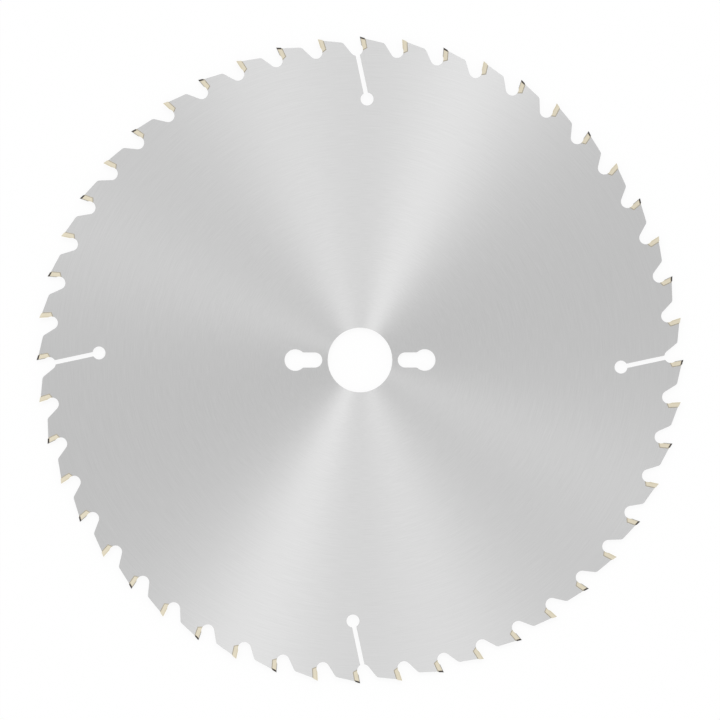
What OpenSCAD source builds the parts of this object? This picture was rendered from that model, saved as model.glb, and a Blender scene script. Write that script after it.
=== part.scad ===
// Circular saw blade with brazed carbide tips.
// The disc lies in the XY plane, with the arbor axis along +Z and the origin at the centre of the
// bore, half way through the plate. Tooth 0 has its cutting point on +Y. Seen from +Z the teeth
// cut counter-clockwise.

/* [Plate] */
// Diameter over the cutting points
blade_diameter = 300; // [280:1:320]
// Thickness of the steel plate
plate_thickness = 2.2; // [1.8:0.1:2.8]
// Diameter of the arbor bore
bore_diameter = 30; // [16:0.5:32]

/* [Drive pin holes] */
// Diameter of the wide outer end of a pin hole
pin_hole_diameter = 10; // [9:0.5:12]
// Pitch circle of the wide outer ends
pin_hole_circle = 60; // [56:1:80]
// Width of the narrow inner end of a pin hole
pin_slot_width = 7; // [5:0.5:8]
// Pitch circle of the narrow inner ends
pin_slot_circle = 42; // [42:1:46]
// Radius of the fillets where the two ends run into each other
pin_hole_fillet = 1.5; // [0.5:0.1:2]

/* [Expansion slots] */
// Number of expansion slots around the rim, each in a gullet
slot_count = 4; // [2:1:6]
// Width of a slot
slot_width = 2; // [1:0.1:3]
// Length from the centre of a gullet to the centre of the slot's end hole
slot_length = 23.6; // [15:0.1:30]
// Lean of a slot away from the radius, in degrees
slot_lean = 12; // [0:1:20]
// Diameter of the end hole
slot_hole_diameter = 6; // [4:0.1:8]

/* [Teeth] */
// Number of teeth, even because the bevels alternate
tooth_count = 48; // [40:2:56]
// Hook angle of the cutting faces, in degrees
hook_angle = 10; // [5:1:15]
// Radius of the gullet in front of a tooth
gullet_radius = 3; // [2.5:0.1:3.5]
// How far the gullet is ground in behind the line of the cutting face
gullet_setback = 0.45; // [0.2:0.05:0.7]
// Height of the gullet's centre above the lower end of the cutting face's line
gullet_rise = 0.75; // [0:0.05:1.5]
// Relief angle of the steel behind a tip, in degrees
back_angle = 13; // [10:1:16]
// Step from a tip's heel down to the steel behind it
back_step = 0.4; // [0.1:0.05:0.5]
// Distance from a cutting point back to the shoulder of its tooth
shoulder_distance = 11.35; // [10:0.05:12]
// Radius of the rounded shoulder
shoulder_radius = 2; // [0.5:0.1:2.5]

/* [Carbide tips] */
// Length of a tip along the line of its cutting face, from the cutting point to the line of its foot
tip_length = 6.3; // [5:0.1:7.5]
// Thickness of a tip, behind its cutting face
tip_thickness = 2.1; // [1.8:0.1:2.8]
// Slant of a tip's foot, which rises towards its back, in degrees
foot_angle = 20; // [0:1:30]
// How far a tip stands out of the plate on each side
tip_overhang = 0.5; // [0.4:0.05:0.8]
// Clearance angle behind the cutting edge, in degrees
clearance_angle = 15; // [13:1:18]
// Slant of the cutting edge across the kerf, in degrees
bevel_angle = 16; // [5:1:20]
// Slant of the cutting face across the kerf, which lets the high corner lead, in degrees
face_bevel_angle = 4.5; // [1:0.5:8]
// Side relief towards the foot of a tip, in degrees
radial_relief = 1.5; // [0.5:0.25:2]
// Side relief towards the back of a tip, in degrees
tangential_relief = 2.5; // [1:0.25:3]

/* [Braze] */
// Thickness of the braze between a tip and its seat
braze_gap = 0.1; // [0.05:0.05:0.2]
// Size of the braze fillet between a tip and the side of the plate
braze_fillet = 0.3; // [0.1:0.05:0.4]

/* [Hidden] */
$fn = 180;
blade_radius = blade_diameter / 2;
half_plate = plate_thickness / 2;
kerf = plate_thickness + 2 * tip_overhang;
pitch_angle = 360 / tooth_count;

// A tip's own frame has X into the carbide from the cutting face and Y up that face,
// with its origin at the cutting point.
seat_depth = tip_thickness + braze_gap;
gullet_spot = [gullet_setback - gullet_radius, gullet_rise - tip_length];
top_slope = hook_angle + clearance_angle;
back_slope = hook_angle + back_angle;
heel_y = -tip_thickness * tan(top_slope);

// The steel of a tooth runs from the back of its tip to a rounded shoulder, and from there down a
// straight slope to the gullet of the tooth that follows.
gullet_centre = placed(gullet_spot);
seat_mouth = placed([gullet_spot.x, foot_y(gullet_spot.x, braze_gap)]);
seat_corner = placed([seat_depth, foot_y(seat_depth, braze_gap)]);
back_start = placed([tip_thickness, back_y(tip_thickness)]);
back_run = (shoulder_distance - back_start.x) / cos(back_angle);
shoulder = back_start + back_run * heading(-back_angle);
to_gullet = turned(gullet_centre, -pitch_angle) - shoulder;
gullet_distance = norm(to_gullet);
slope_run = sqrt(gullet_distance ^ 2 - gullet_radius ^ 2);
slope_angle = atan2(to_gullet.y, to_gullet.x) - asin(gullet_radius / gullet_distance);
slope_end = shoulder + slope_run * heading(slope_angle);
shoulder_turn = -back_angle - slope_angle;
rounding_run = shoulder_radius * tan(shoulder_turn / 2);
rounding_start = shoulder - rounding_run * heading(-back_angle);
rounding_end = shoulder + rounding_run * heading(slope_angle);
rounding_centre = rounding_start + shoulder_radius * heading(-back_angle - 90);

// Cuts reach this far past the rim of the disc and past the faces of a tip.
rim_margin = tip_length;
cut_margin = 2 * tip_length;
// Round cuts reach this far into the straight ones that they run into, so that no sliver is left.
blend_overlap = 0.005;

// The braze fillet is limited by the part of the tip that stands out beside it.
rear_overhang = tip_overhang - tip_length * tan(radial_relief) - tip_thickness * tan(tangential_relief);
fillet_rise = min(braze_fillet, rear_overhang);
fillet_reach = braze_gap + braze_fillet;
fillet_slope = atan2(fillet_rise, fillet_reach);

tip_names = [for (i = [0 : tooth_count - 1]) tip_name(i)];

function heading(angle) = [cos(angle), sin(angle)];
function turned(p, angle) = [
    p.x * cos(angle) - p.y * sin(angle),
    p.x * sin(angle) + p.y * cos(angle)
];
// A point of tooth 0's tip frame, in the blade's frame
function placed(p) = [0, blade_radius] + turned(p, hook_angle);
// Height of the tooth's steel back at a depth behind the cutting face, in the tip frame
function back_y(depth) = heel_y - back_step - (depth - tip_thickness) * tan(back_slope);
// Height of a line along the foot of a tip, at a depth behind the cutting face and a distance below it
function foot_y(depth, below = 0) = depth * tan(foot_angle) - tip_length - below / cos(foot_angle);
function tip_name(i) = str("tip_", i < 9 ? "0" : "", i + 1);

module blend_circle(radius) {
    circle(r = radius + blend_overlap);
}

// The open space in front of tooth 0: over the back of the tooth ahead of it, down that tooth's
// slope, round the gullet, along the slanted floor of the tip's seat and up its wall
module tooth_gap() {
    difference() {
        polygon([
            turned(placed([tip_thickness, rim_margin]), pitch_angle),
            turned(back_start, pitch_angle),
            turned(rounding_start, pitch_angle),
            turned(rounding_centre, pitch_angle),
            turned(rounding_end, pitch_angle),
            turned(slope_end, pitch_angle),
            gullet_centre,
            seat_mouth,
            seat_corner,
            placed([seat_depth, rim_margin])
        ]);
        translate(turned(rounding_centre, pitch_angle)) blend_circle(shoulder_radius);
    }
    translate(gullet_centre) blend_circle(gullet_radius);
}

// A narrow cut from the bottom of tooth 0's gullet to a round end hole
module expansion_slot() {
    translate(gullet_centre) rotate(slot_lean) {
        translate([-slot_width / 2, -slot_length]) square([slot_width, slot_length]);
        translate([0, -slot_length]) circle(d = slot_hole_diameter);
    }
}

// A keyhole on the +X side: a wide round end, and a narrower slot from it towards the bore
module pin_hole() {
    outer_x = pin_hole_circle / 2;
    inner_x = pin_slot_circle / 2;
    fillet_y = pin_slot_width / 2 + pin_hole_fillet;
    fillet_x = outer_x - sqrt((pin_hole_diameter / 2 + pin_hole_fillet) ^ 2 - fillet_y ^ 2);
    translate([outer_x, 0]) circle(d = pin_hole_diameter);
    translate([inner_x, 0]) circle(d = pin_slot_width);
    translate([inner_x, -pin_slot_width / 2]) square([outer_x - inner_x, pin_slot_width]);
    for (side = [-1, 1])
        difference() {
            polygon([[fillet_x, 0], [outer_x, 0], [fillet_x, side * fillet_y]]);
            translate([fillet_x, side * fillet_y]) blend_circle(pin_hole_fillet);
        }
}

module blade_body() {
    color([0.78, 0.78, 0.78])
        linear_extrude(height = plate_thickness, center = true)
            difference() {
                circle(r = blade_radius);
                circle(d = bore_diameter);
                for (i = [0 : tooth_count - 1]) rotate(i * pitch_angle) tooth_gap();
                for (i = [0 : slot_count - 1])
                    rotate(round(i * tooth_count / slot_count) * pitch_angle) expansion_slot();
                for (angle = [0, 180]) rotate(angle) pin_hole();
            }
}

module in_tip_frame(i) {
    rotate(i * pitch_angle)
        translate([0, blade_radius, 0])
            rotate(hook_angle)
                children();
}

// A cutting block that fills the space above Z = 0 around a tip
module half_space() {
    translate([-cut_margin, -cut_margin, 0]) cube([2 * cut_margin, 2 * cut_margin, cut_margin]);
}

// The gullet as it is ground through a tip and its braze, in the tip frame
module ground_gullet() {
    translate(gullet_spot) circle(r = gullet_radius);
}

// A tip seen from its side: cutting face, hollow of the gullet, slanted foot and straight back
module tip_outline() {
    difference() {
        polygon([[0, foot_y(0)], [tip_thickness, foot_y(tip_thickness)], [tip_thickness, 0], [0, 0]]);
        ground_gullet();
    }
}

// One tip: a block on its seat, relieved on both sides. Its cutting edge and its cutting face fall
// away from the high corner, which is on the far side on one tooth and the near side on the next.
module carbide_tip(i) {
    high_side = i % 2 == 0 ? -1 : 1;
    color([0.86, 0.82, 0.74])
        in_tip_frame(i)
            difference() {
                linear_extrude(height = kerf, center = true) tip_outline();
                translate([0, 0, high_side * kerf / 2]) {
                    rotate([high_side * -bevel_angle, 0, 0])
                        rotate(-top_slope)
                            rotate([-90, 0, 0]) half_space();
                    rotate([0, -90 - high_side * face_bevel_angle, 0]) half_space();
                }
                for (side = [0, 1])
                    mirror([0, 0, side])
                        translate([0, 0, kerf / 2])
                            rotate([radial_relief, tangential_relief, 0]) half_space();
            }
}

// The outline, in the tip frame, of the braze behind and below a tip, out to a given reach
module braze_outline(reach) {
    outer_x = tip_thickness + reach;
    difference() {
        polygon([
            [0, foot_y(0)],
            [tip_thickness, foot_y(tip_thickness)],
            [tip_thickness, back_y(tip_thickness)],
            [outer_x, back_y(outer_x)],
            [outer_x, foot_y(outer_x, reach)],
            [0, foot_y(0, reach)]
        ]);
        ground_gullet();
    }
}

// The braze fillet on the upper side of the plate, sloping away behind and below the tip
module braze_side_fillet() {
    translate([0, 0, half_plate])
        difference() {
            linear_extrude(height = fillet_rise) braze_outline(fillet_reach);
            translate([tip_thickness, 0, fillet_rise]) rotate([0, fillet_slope, 0]) half_space();
            translate([0, foot_y(0), fillet_rise])
                rotate(foot_angle)
                    rotate([fillet_slope, 0, 0]) half_space();
        }
}

module braze_joints() {
    color([0.69, 0.66, 0.58])
        for (i = [0 : tooth_count - 1])
            in_tip_frame(i) {
                linear_extrude(height = plate_thickness, center = true) braze_outline(braze_gap);
                for (side = [0, 1]) mirror([0, 0, side]) braze_side_fillet();
            }
}

blade_body();
braze_joints();
for (i = [0 : tooth_count - 1])
    carbide_tip(i);
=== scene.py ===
import math

import bpy
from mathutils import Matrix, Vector


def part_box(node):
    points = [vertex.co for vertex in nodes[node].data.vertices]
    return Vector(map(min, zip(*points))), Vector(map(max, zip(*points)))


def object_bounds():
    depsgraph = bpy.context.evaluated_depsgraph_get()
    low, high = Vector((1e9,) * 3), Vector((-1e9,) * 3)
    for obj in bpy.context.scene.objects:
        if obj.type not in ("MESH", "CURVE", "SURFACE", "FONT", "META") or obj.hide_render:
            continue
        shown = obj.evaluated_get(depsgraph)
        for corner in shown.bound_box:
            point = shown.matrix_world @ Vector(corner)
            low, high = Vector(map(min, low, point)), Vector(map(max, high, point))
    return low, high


# Looks of a circular saw blade with brazed carbide tips, seen square on from above its outer face.
# The frame brings every shape. This script dresses its nodes, lights them and sets the camera.

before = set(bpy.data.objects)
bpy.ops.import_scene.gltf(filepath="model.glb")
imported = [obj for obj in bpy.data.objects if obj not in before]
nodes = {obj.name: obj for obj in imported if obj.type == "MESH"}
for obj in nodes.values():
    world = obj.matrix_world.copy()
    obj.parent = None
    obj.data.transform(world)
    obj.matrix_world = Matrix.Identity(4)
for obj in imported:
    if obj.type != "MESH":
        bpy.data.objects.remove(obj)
cad_low, cad_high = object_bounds()

MM = 0.001
WHITE = (1.0, 1.0, 1.0, 1.0)

# Sizes of the blade, from the frame where it has them
tip_nodes = [name for name in nodes if name.startswith("tip_")]
plate_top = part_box("blade_body")[1].z
blade_radius = cad_high.y
pitch_angle = 2 * math.pi / len(tip_nodes)
hook_angle = math.radians(10)
tip_thickness = 2.1 * MM

# Framing of the photograph
photo_width_px = 720
photo_px_per_mm = 2.1569
photo_roll = math.radians(-0.04)
camera_lens = 1500

# Soft studio lamps: name, azimuth from +X and height above the horizon in degrees, strength
lamps = [
    ("key_lamp", 68.4, 55.1, 0.40),
    ("second_lamp", 107.7, 61.0, 0.28),
    ("side_lamp", 155.6, 53.9, 0.147),
]
lamp_softness = math.radians(6)
sky_level = 0.78

# White floor: a glow that shows as the background, and a small share of plain shading for the shadow
floor_reach = 10 * blade_radius
floor_glow = 1.01
floor_grey = 0.9
floor_shade_share = 0.1


def feed(tree, socket, value):
    """Links a socket to another one, or sets a plain value on it."""
    if isinstance(value, bpy.types.NodeSocket):
        tree.links.new(value, socket)
    else:
        socket.default_value = value


def add(tree, kind, inputs=None, **settings):
    """Adds a node with its settings and its named inputs."""
    node = tree.nodes.new(kind)
    for name, value in settings.items():
        setattr(node, name, value)
    for name, value in (inputs or {}).items():
        feed(tree, node.inputs[name], value)
    return node


def calc(tree, operation, *values):
    """A number worked out from other numbers."""
    node = add(tree, "ShaderNodeMath", operation=operation)
    for socket, value in zip(node.inputs, values):
        feed(tree, socket, value)
    return node.outputs["Value"]


def calc_vector(tree, operation, *values, result="Vector"):
    """A vector worked out from other vectors, or a number with "Value" as the result."""
    node = add(tree, "ShaderNodeVectorMath", operation=operation)
    for socket, value in zip(node.inputs, values):
        feed(tree, socket, value)
    return node.outputs[result]


def ramp(tree, value, low, high, at_low=0.0, at_high=1.0):
    """A smooth step of a number from one level to another."""
    inputs = {
        "Value": value,
        "From Min": low,
        "From Max": high,
        "To Min": at_low,
        "To Max": at_high,
    }
    return add(tree, "ShaderNodeMapRange", inputs, interpolation_type="SMOOTHSTEP").outputs["Result"]


def noise(tree, place, scale, detail=2.0):
    """A soft irregular pattern of numbers from 0 to 1."""
    inputs = {"Vector": place, "Scale": scale, "Detail": detail}
    return add(tree, "ShaderNodeTexNoise", inputs).outputs["Fac"]


def mixed(tree, share, first, second):
    """A colour between two colours."""
    node = add(tree, "ShaderNodeMix", data_type="RGBA")
    colours = [socket for socket in node.inputs if socket.type == "RGBA"]
    feed(tree, node.inputs["Factor"], share)
    feed(tree, colours[0], first)
    feed(tree, colours[1], second)
    return next(socket for socket in node.outputs if socket.type == "RGBA")


def grey(level):
    """A neutral colour, in the linear values that a shader takes."""
    return (level, level, level, 1.0)


def photo_colour(red, green, blue):
    """A colour read off the screen, in the linear values that a shader takes."""
    return tuple(((c / 255 + 0.055) / 1.055) ** 2.4 for c in (red, green, blue)) + (1.0,)


def new_material(name):
    """A material with its tree, its shader, and the place and normal on the object."""
    material = bpy.data.materials.new(name)
    material.use_nodes = True
    tree = material.node_tree
    where = add(tree, "ShaderNodeTexCoord").outputs
    return material, tree, tree.nodes["Principled BSDF"], where["Object"], where["Normal"]


def make_metal(tree, shader, colour, roughness):
    """Sets the colour and roughness of a bare metal."""
    feed(tree, shader.inputs["Base Color"], colour)
    feed(tree, shader.inputs["Roughness"], roughness)
    shader.inputs["Metallic"].default_value = 1.0


def add_relief(tree, shader, height, depth, strength):
    """Gives a surface a fine relief of a depth in metres."""
    bump = add(tree, "ShaderNodeBump", {"Strength": strength, "Distance": depth, "Height": height})
    feed(tree, shader.inputs["Normal"], bump.outputs["Normal"])


def dress(material, names):
    """Gives nodes of the frame a material."""
    for name in names:
        slots = nodes[name].data.materials
        slots.clear()
        slots.append(material)


def flat(tree, place):
    """A place moved along the blade's axis to its middle plane."""
    return calc_vector(tree, "MULTIPLY", place, (1, 1, 0))


def axis_distance(tree, place):
    """The distance of a place from the blade's axis."""
    return calc_vector(tree, "LENGTH", flat(tree, place), result="Value")


def outward(tree, place):
    """The direction from the blade's axis to a place."""
    return calc_vector(tree, "NORMALIZE", flat(tree, place))


def outward_share(tree, place, normal):
    """How far a face looks away from the blade's axis."""
    return calc_vector(tree, "DOT_PRODUCT", outward(tree, place), normal, result="Value")


def upward_share(tree, normal):
    """How far a face looks along the blade's axis, to either side."""
    parts = add(tree, "ShaderNodeSeparateXYZ", {"Vector": normal})
    return calc(tree, "ABSOLUTE", parts.outputs["Z"])


# Steel of the plate: its tones, how fine its marks are, and the sheen that is drawn out across the rings
ring_tones = (grey(0.59), grey(0.65))
ring_contrast = (0.35, 0.65)
rings_per_mm = 10.0
ring_depth = 0.003 * MM
patch_tone = grey(0.62)
patch_strength = 0.5
patches_per_metre = 40.0
edge_tones = (grey(0.24), grey(0.42))
edge_lines_per_metre = 4000.0
edge_line_squeeze = (1, 1, 0.04)
steel_roughness = (0.48, 0.52)
roughness_contrast = (0.2, 0.8)
sheen_stretch = 0.9
quarter_turn = 0.25
# How far a normal looks along the axis where a cut edge ends and where a face begins
face_shares = (0.5, 0.9)


def ground_steel():
    """The plate: faces ground in fine rings, and rougher cut edges with lines through the thickness."""
    material, tree, shader, place, normal = new_material("ground_steel")
    radius_in_mm = calc(tree, "MULTIPLY", axis_distance(tree, place), 1 / MM)
    ring_place = add(tree, "ShaderNodeCombineXYZ", {"Z": radius_in_mm}).outputs["Vector"]
    streak_place = calc_vector(tree, "ADD", ring_place, outward(tree, place))
    rings = noise(tree, streak_place, rings_per_mm, detail=3.0)
    patches = noise(tree, place, patches_per_metre)
    edge_place = calc_vector(tree, "MULTIPLY", place, edge_line_squeeze)
    edge_lines = noise(tree, edge_place, edge_lines_per_metre)
    face_share = ramp(tree, upward_share(tree, normal), *face_shares)

    face_colour = mixed(tree, ramp(tree, rings, *ring_contrast), *ring_tones)
    face_colour = mixed(tree, calc(tree, "MULTIPLY", patches, patch_strength), face_colour, patch_tone)
    edge_colour = mixed(tree, edge_lines, *edge_tones)
    colour = mixed(tree, face_share, edge_colour, face_colour)
    make_metal(tree, shader, colour, ramp(tree, rings, *roughness_contrast, *steel_roughness))
    shader.inputs["Anisotropic"].default_value = sheen_stretch
    shader.inputs["Anisotropic Rotation"].default_value = quarter_turn
    tangent = add(tree, "ShaderNodeTangent", direction_type="RADIAL", axis="Z")
    feed(tree, shader.inputs["Tangent"], tangent.outputs["Tangent"])
    height = calc(tree, "ADD", calc(tree, "MULTIPLY", rings, face_share), edge_lines)
    add_relief(tree, shader, height, ring_depth, strength=0.3)
    return material


# A tooth's own stretch of the rim, from a little ahead of its cutting point back to the next tooth
stretch_start = pitch_angle / 3
stretch_end = stretch_start - pitch_angle


def tip_depth(tree, place):
    """Depth behind the line of a tip's cutting face, the same for every tooth around the rim."""
    parts = add(tree, "ShaderNodeSeparateXYZ", {"Vector": place}).outputs
    left = calc(tree, "MULTIPLY", parts["X"], -1.0)
    around = calc(tree, "ARCTAN2", left, parts["Y"])
    in_stretch = calc(tree, "WRAP", around, stretch_start, stretch_end)
    radius = axis_distance(tree, place)
    ahead = calc(tree, "MULTIPLY", radius, calc(tree, "SINE", in_stretch))
    height = calc(tree, "MULTIPLY", radius, calc(tree, "COSINE", in_stretch))
    above_point = calc(tree, "SUBTRACT", height, blade_radius)
    along = calc(tree, "MULTIPLY", ahead, -math.cos(hook_angle))
    return calc(tree, "ADD", along, calc(tree, "MULTIPLY", above_point, math.sin(hook_angle)))


# Carbide of the tips: tones of the sides, of the painted shade along their front and the painted glint on
# their leading edge, and of the ground faces
side_tones = (photo_colour(208, 200, 178), photo_colour(219, 211, 191))
# Painted shade: a darker band on the tip sides just behind the cutting face, where the sides read darker in
# the light
painted_front_shade_tone = photo_colour(204, 195, 172)
painted_front_shade_fade = (0.3 * MM, 0.9 * MM)
# Painted highlight: a near-white line on the sides at the leading edge, standing for the glint of a bright
# reflection
painted_edge_glint_tone = photo_colour(248, 246, 238)
painted_edge_glint_fade = (0.06 * MM, 0.16 * MM)
cutting_face_tone = photo_colour(130, 122, 113)
top_tones = (photo_colour(86, 79, 74), photo_colour(110, 103, 97))
grain_tone = grey(0.4)
grain_strength = 0.2
grain_depth = 0.004 * MM
grains_per_metre = 9000.0
clouds_per_metre = 700.0
cutting_face_roughness = 0.13
top_roughness = 0.35
side_roughness = 0.6
grazing_tint = grey(0.3)
# How far a normal looks along the axis on a side, and away from the axis on a top
side_shares = (0.8, 0.95)
top_shares = (0.4, 0.7)


def carbide():
    """The tips: pale satin sides, and darker ground faces at the cutting edges."""
    material, tree, shader, place, normal = new_material("carbide")
    depth = tip_depth(tree, place)
    grains = noise(tree, place, grains_per_metre, detail=3.0)
    clouds = noise(tree, place, clouds_per_metre)
    side_share = ramp(tree, upward_share(tree, normal), *side_shares)
    top_share = ramp(tree, outward_share(tree, place, normal), *top_shares)

    side_colour = mixed(tree, clouds, *side_tones)
    # Painted shade: darkens the sides within about a millimetre behind the cutting face
    painted_front_shade = ramp(tree, depth, *painted_front_shade_fade, at_low=1.0, at_high=0.0)
    side_colour = mixed(tree, painted_front_shade, side_colour, painted_front_shade_tone)
    # Painted highlight: a near-white glint line within a fifth of a millimetre of the cutting face
    painted_edge_glint = ramp(tree, depth, *painted_edge_glint_fade, at_low=1.0, at_high=0.0)
    side_colour = mixed(tree, painted_edge_glint, side_colour, painted_edge_glint_tone)
    heel_share = ramp(tree, depth, 0.0, tip_thickness)
    top_colour = mixed(tree, heel_share, *top_tones)
    ground_colour = mixed(tree, top_share, cutting_face_tone, top_colour)
    colour = mixed(tree, side_share, ground_colour, side_colour)
    colour = mixed(tree, calc(tree, "MULTIPLY", grains, grain_strength), colour, grain_tone)
    ground_roughness = ramp(tree, top_share, 0.0, 1.0, cutting_face_roughness, top_roughness)
    roughness = ramp(tree, side_share, 0.0, 1.0, ground_roughness, side_roughness)
    make_metal(tree, shader, colour, roughness)
    shader.inputs["Specular Tint"].default_value = grazing_tint
    add_relief(tree, shader, grains, grain_depth, strength=0.3)
    return material


# Braze: its tones, and how coarse its lumps are
braze_tones = (photo_colour(161, 153, 136), photo_colour(188, 181, 165))
braze_roughness = (0.42, 0.55)
lump_contrast = (0.3, 0.7)
lump_depth = 0.03 * MM
lumps_per_metre = 1500.0


def braze():
    """The solder line: a dull warm metal that ran out unevenly."""
    material, tree, shader, place, _ = new_material("braze")
    lumps = noise(tree, place, lumps_per_metre, detail=3.0)
    colour = mixed(tree, lumps, *braze_tones)
    make_metal(tree, shader, colour, ramp(tree, lumps, *lump_contrast, *braze_roughness))
    add_relief(tree, shader, lumps, lump_depth, strength=0.5)
    return material


def shown_as_background(tree):
    """1 for the rays that show the background: those of the camera, and of gloss and glass."""
    rays = add(tree, "ShaderNodeLightPath").outputs
    direct = calc(tree, "MAXIMUM", rays["Is Camera Ray"], rays["Is Glossy Ray"])
    return calc(tree, "MAXIMUM", direct, rays["Is Transmission Ray"])


def light_the_sky():
    """An even white sky, which lights a little less than it shows."""
    world = bpy.data.worlds.new("studio")
    world.cycles.sampling_method = "NONE"
    world.use_nodes = True
    tree = world.node_tree
    background = tree.nodes["Background"]
    background.inputs["Color"].default_value = WHITE
    strength = ramp(tree, shown_as_background(tree), 0.0, 1.0, sky_level, 1.0)
    feed(tree, background.inputs["Strength"], strength)
    bpy.context.scene.world = world


def add_lamp(name, azimuth, height, strength):
    """A distant soft lamp, by where it stands as seen from the blade."""
    lamp = bpy.data.lights.new(name, "SUN")
    lamp.energy = strength
    lamp.angle = lamp_softness
    holder = bpy.data.objects.new(name, lamp)
    across = math.radians(azimuth)
    up = math.radians(height)
    towards = Vector((math.cos(across) * math.cos(up), math.sin(across) * math.cos(up), math.sin(up)))
    holder.rotation_euler = towards.to_track_quat("Z", "Y").to_euler()
    holder.location = towards
    bpy.context.scene.collection.objects.link(holder)


def white_floor():
    """White to the rays that show the background, with a faint share of its own shading."""
    material = bpy.data.materials.new("white_floor")
    material.use_nodes = True
    material.cycles.emission_sampling = "NONE"
    tree = material.node_tree
    tree.nodes.clear()
    shaded = add(tree, "ShaderNodeBsdfDiffuse", {"Color": grey(floor_grey)})
    glow = add(tree, "ShaderNodeEmission", {"Color": WHITE, "Strength": floor_glow})
    glow_share = calc(tree, "MULTIPLY", shown_as_background(tree), 1 - floor_shade_share)
    surface = add(tree, "ShaderNodeMixShader", {"Fac": glow_share})
    feed(tree, surface.inputs[1], shaded.outputs["BSDF"])
    feed(tree, surface.inputs[2], glow.outputs["Emission"])
    output = add(tree, "ShaderNodeOutputMaterial")
    feed(tree, output.inputs["Surface"], surface.outputs["Shader"])
    return material


def add_floor():
    """A white floor under the tips that keeps a faint shadow of the blade."""
    corners = [(x * floor_reach, y * floor_reach, 0) for x, y in [(-1, -1), (1, -1), (1, 1), (-1, 1)]]
    mesh = bpy.data.meshes.new("floor")
    mesh.from_pydata(corners, [], [(0, 1, 2, 3)])
    mesh.materials.append(white_floor())
    floor = bpy.data.objects.new("floor", mesh)
    floor.location.z = cad_low.z
    bpy.context.scene.collection.objects.link(floor)


def add_camera():
    """A long lens straight above the blade, framed as the photograph is."""
    camera = bpy.data.cameras.new("camera")
    camera.lens = camera_lens
    field_width = photo_width_px / photo_px_per_mm * MM
    holder = bpy.data.objects.new("camera", camera)
    holder.location.z = plate_top + field_width * camera.lens / camera.sensor_width
    holder.rotation_euler.z = photo_roll
    bpy.context.scene.collection.objects.link(holder)
    bpy.context.scene.camera = holder


dress(ground_steel(), ["blade_body"])
dress(carbide(), tip_nodes)
dress(braze(), ["braze_joints"])
light_the_sky()
for lamp in lamps:
    add_lamp(*lamp)
add_floor()
add_camera()
bpy.context.scene.view_settings.view_transform = "Standard"
